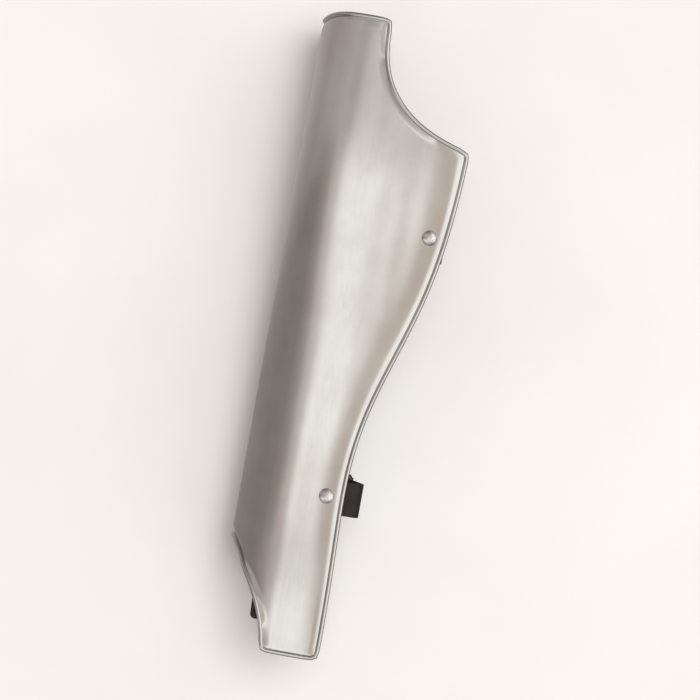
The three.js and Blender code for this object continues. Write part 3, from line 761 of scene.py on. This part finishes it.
def buckle(name, f, nodeName):
    bar, length = buckleSizes["bar"], buckleSizes["length"]
    thick = buckleSizes["barRadius"]
    halfWidth, halfLength = strap["width"] / 2 + buckleSizes["sideRoom"] + thick, length / 2
    radius = buckleSizes["cornerRadius"]
    outline = []
    for x, y, start in ((1, 1, 0), (-1, 1, 90), (-1, -1, 180), (1, -1, 270)):
        for step in range(buckleSizes["cornerSteps"] + 1):
            turn = math.radians(start + 90 * step / buckleSizes["cornerSteps"])
            outline.append((x * (halfWidth - radius) + radius * math.cos(turn),
                            y * (halfLength - radius) + radius * math.sin(turn)))
    middle = local(f, -length / 2, 0)
    line = [middle + upright * u + f["run"] * v for u, v in outline]
    points, faces = [], []
    tube(points, faces, line, [(thick, thick)] * len(line), [f["out"]] * len(line), True)
    # The tongue goes from the hinge bar through the leather and rests on the far bar
    rest = bar / 2 + buckleSizes["tongueThickness"] / 2 - 0.2
    spots = [(0.4, 0), (-length * 0.3, -0.2), (-length * 0.66, rest - 0.2), (-length - 1, rest)]
    steps = buckleSizes["tongueSteps"]
    tongueLine = curveThrough([local(f, *spot) for spot in spots], steps)
    halfTongue, halfThick = buckleSizes["tongueWidth"] / 2, buckleSizes["tongueThickness"] / 2
    taper = [lerp(1.0, buckleSizes["tongueTaper"], i / steps) for i in range(steps + 1)]
    tube(points, faces, tongueLine, [(halfTongue * t, halfThick * t) for t in taper],
         [f["out"]] * len(tongueLine), False)
    addPiece(name, points, faces, buckleSteel, nodeName, 40)


buckle("buckle_upper_forged", upper, "buckle_upper")
buckle("buckle_lower_forged", lower, "buckle_lower")
print("buckles made")


# Floor, light and camera

stageLook = {
    "floor": "#f5f2ef", "floorMottle": "#f1ede9", "mottleSize": 167.0,
    "floorRoughness": 0.9, "floorSize": 6.0,
}
lightLook = {
    "keyPlace": (0.22, 0.22, 2.3), "keySize": 0.9, "keyPower": 25.5, "keyColour": "#fdfeff",
    "skyStrength": 1.38, "endsFrom": 0.35, "endsTo": 0.8, "endsShare": 0.4,
    "kneeFrom": 0.02, "kneeTo": 0.13, "footFrom": -0.42, "footTo": -0.28,
}
cameraLook = {
    "target": (54.3, 198.0, 0.0), "distance": 1530.0, "rollDegrees": 10.15, "lens": 120.5, "sensor": 36.0,
}


def floorMaterial():
    # Matte paper-white board with the faintest mottling, so that shadows show and nothing else does
    material, tree = newMaterial("paper_board_matte")
    place = addNode(tree, "ShaderNodeTexCoord").outputs["Object"]
    mottleScale = scaleFor(stageLook["mottleSize"])
    mottle = addNode(
        tree, "ShaderNodeTexNoise", {"Scale": mottleScale, "Detail": 5.0}, {"Vector": place})
    tint = addNode(tree, "ShaderNodeValToRGB", links={"Fac": mottle.outputs["Fac"]})
    setRamp(tint, [(0.35, colour(stageLook["floorMottle"])), (0.65, colour(stageLook["floor"]))])
    shader = addNode(
        tree, "ShaderNodeBsdfPrincipled", {"Roughness": stageLook["floorRoughness"]},
        {"Base Color": tint.outputs["Color"]})
    addNode(tree, "ShaderNodeOutputMaterial", links={"Surface": shader.outputs["BSDF"]})
    return material


def addFloor():
    half = stageLook["floorSize"] / 2
    mesh = bpy.data.meshes.new("floor")
    corners = [(-half, -half, 0), (half, -half, 0), (half, half, 0), (-half, half, 0)]
    mesh.from_pydata(corners, [], [(0, 1, 2, 3)])
    mesh.materials.append(floorMaterial())
    floor = bpy.data.objects.new("floor", mesh)
    floor.visible_glossy = False  # the steel mirrors the studio, so that its ridge side stays dark
    bpy.context.collection.objects.link(floor)


def addKey():
    light = bpy.data.lights.new("key", "AREA")
    light.shape = "SQUARE"
    light.size = lightLook["keySize"]
    light.energy = lightLook["keyPower"]
    light.color = colour(lightLook["keyColour"])[:3]
    key = bpy.data.objects.new("key", light)
    key.location = lightLook["keyPlace"]
    key.rotation_euler = Vector(lightLook["keyPlace"]).to_track_quat("Z", "Y").to_euler()
    key.visible_glossy = False
    bpy.context.collection.objects.link(key)


# Shades round the object at degrees from straight up, towards the open back where positive. There is
# one ring for reflections square on, one for those from the knee's side, and one for those that come
# from far beyond the ankle.
squareRing = [
    (-180, "#979190"), (-165, "#7f7875"), (-110, "#7a7370"), (-60, "#7c7572"), (-35, "#8a8480"),
    (-26, "#968f8a"), (-18, "#ada6a1"), (-10, "#c0bab5"), (-6, "#e6e3e0"), (-4.2, "#fcfbfa"),
    (-3.2, "#d2cdc8"), (0, "#b3aaa0"), (8, "#b6ada3"), (16, "#efedeb"), (60, "#e6e4e2"),
    (85, "#8a8480"), (110, "#5f5a57"), (150, "#6a6562"), (180, "#979190"),
]
kneeRing = [
    (-180, "#9b9491"), (-140, "#908986"), (-100, "#9b9491"), (-60, "#9f9895"), (-22, "#a8a19d"),
    (-9, "#9c9591"), (-5.5, "#a39d99"), (-4.4, "#bcb8b5"), (-3.4, "#e0dedc"), (-2.2, "#c1bcb8"),
    (0, "#b2aca7"), (8, "#b5afaa"), (16, "#efedeb"), (60, "#e6e4e2"), (85, "#8a8480"),
    (110, "#5f5a57"), (150, "#6a6562"), (180, "#9b9491"),
]
ankleRing = [
    (-180, "#8a8480"), (-90, "#8a8480"), (-60, "#ebe9e7"), (20, "#ebe9e7"), (85, "#8a8480"),
    (180, "#8a8480"),
]


def addSky():
    # A studio round the object: bright overhead, a dim wall on the ridge's side, and a pale one at the
    # open back. It darkens towards the object's two ends.
    world = bpy.data.worlds.new("studio")
    bpy.context.scene.world = world
    world.use_nodes = True
    tree = world.node_tree
    tree.nodes.clear()
    direction = addNode(tree, "ShaderNodeTexCoord").outputs["Generated"]
    parts = addNode(tree, "ShaderNodeSeparateXYZ", links={"Vector": direction})
    turned = addNode(
        tree, "ShaderNodeMath", {"operation": "ARCTAN2"}, {0: parts.outputs["X"], 1: parts.outputs["Z"]})
    share = addNode(
        tree, "ShaderNodeMapRange", {"From Min": -math.pi, "From Max": math.pi},
        {"Value": turned.outputs["Value"]})

    def shadesOf(ring):
        ramp = addNode(tree, "ShaderNodeValToRGB", links={"Fac": share.outputs["Result"]})
        setRamp(ramp, [(0.5 + degrees / 360, colour(shade)) for degrees, shade in ring])
        return ramp.outputs["Color"]

    def mixAlong(fromY, toY, first, second):
        mixShare = addNode(
            tree, "ShaderNodeMapRange", {"From Min": fromY, "From Max": toY}, {"Value": parts.outputs["Y"]})
        mix = addNode(
            tree, "ShaderNodeMixRGB", links={0: mixShare.outputs["Result"], 1: first, 2: second})
        return mix.outputs["Color"]

    wall = mixAlong(lightLook["kneeFrom"], lightLook["kneeTo"], shadesOf(squareRing), shadesOf(kneeRing))
    wall = mixAlong(lightLook["footFrom"], lightLook["footTo"], shadesOf(ankleRing), wall)
    lengthwise = addNode(tree, "ShaderNodeMath", {"operation": "ABSOLUTE"}, {0: parts.outputs["Y"]})
    strength = addNode(
        tree, "ShaderNodeMapRange",
        {"From Min": lightLook["endsFrom"], "From Max": lightLook["endsTo"],
         "To Min": lightLook["skyStrength"], "To Max": lightLook["skyStrength"] * lightLook["endsShare"]},
        {"Value": lengthwise.outputs["Value"]})
    background = addNode(
        tree, "ShaderNodeBackground",
        links={"Color": wall, "Strength": strength.outputs["Result"]})
    addNode(tree, "ShaderNodeOutputWorld", links={"Surface": background.outputs["Background"]})


def addCamera():
    toRoom = toFloor.to_3x3().normalized()
    target = toFloor @ Vector(cameraLook["target"])
    roll = math.radians(cameraLook["rollDegrees"])
    right = toRoom @ Vector((math.cos(roll), math.sin(roll), 0))
    up = toRoom @ Vector((-math.sin(roll), math.cos(roll), 0))
    back = toRoom @ Vector((0, 0, 1))
    data = bpy.data.cameras.new("camera")
    data.lens = cameraLook["lens"]
    data.sensor_width = cameraLook["sensor"]
    camera = bpy.data.objects.new("camera", data)
    turn = Matrix((right, up, back)).transposed().to_4x4()
    camera.matrix_world = Matrix.Translation(target + back * cameraLook["distance"] / 1000) @ turn
    bpy.context.collection.objects.link(camera)
    bpy.context.scene.camera = camera


addFloor()
addKey()
addSky()
addCamera()
bpy.context.scene.view_settings.view_transform = "Standard"
print("studio made")
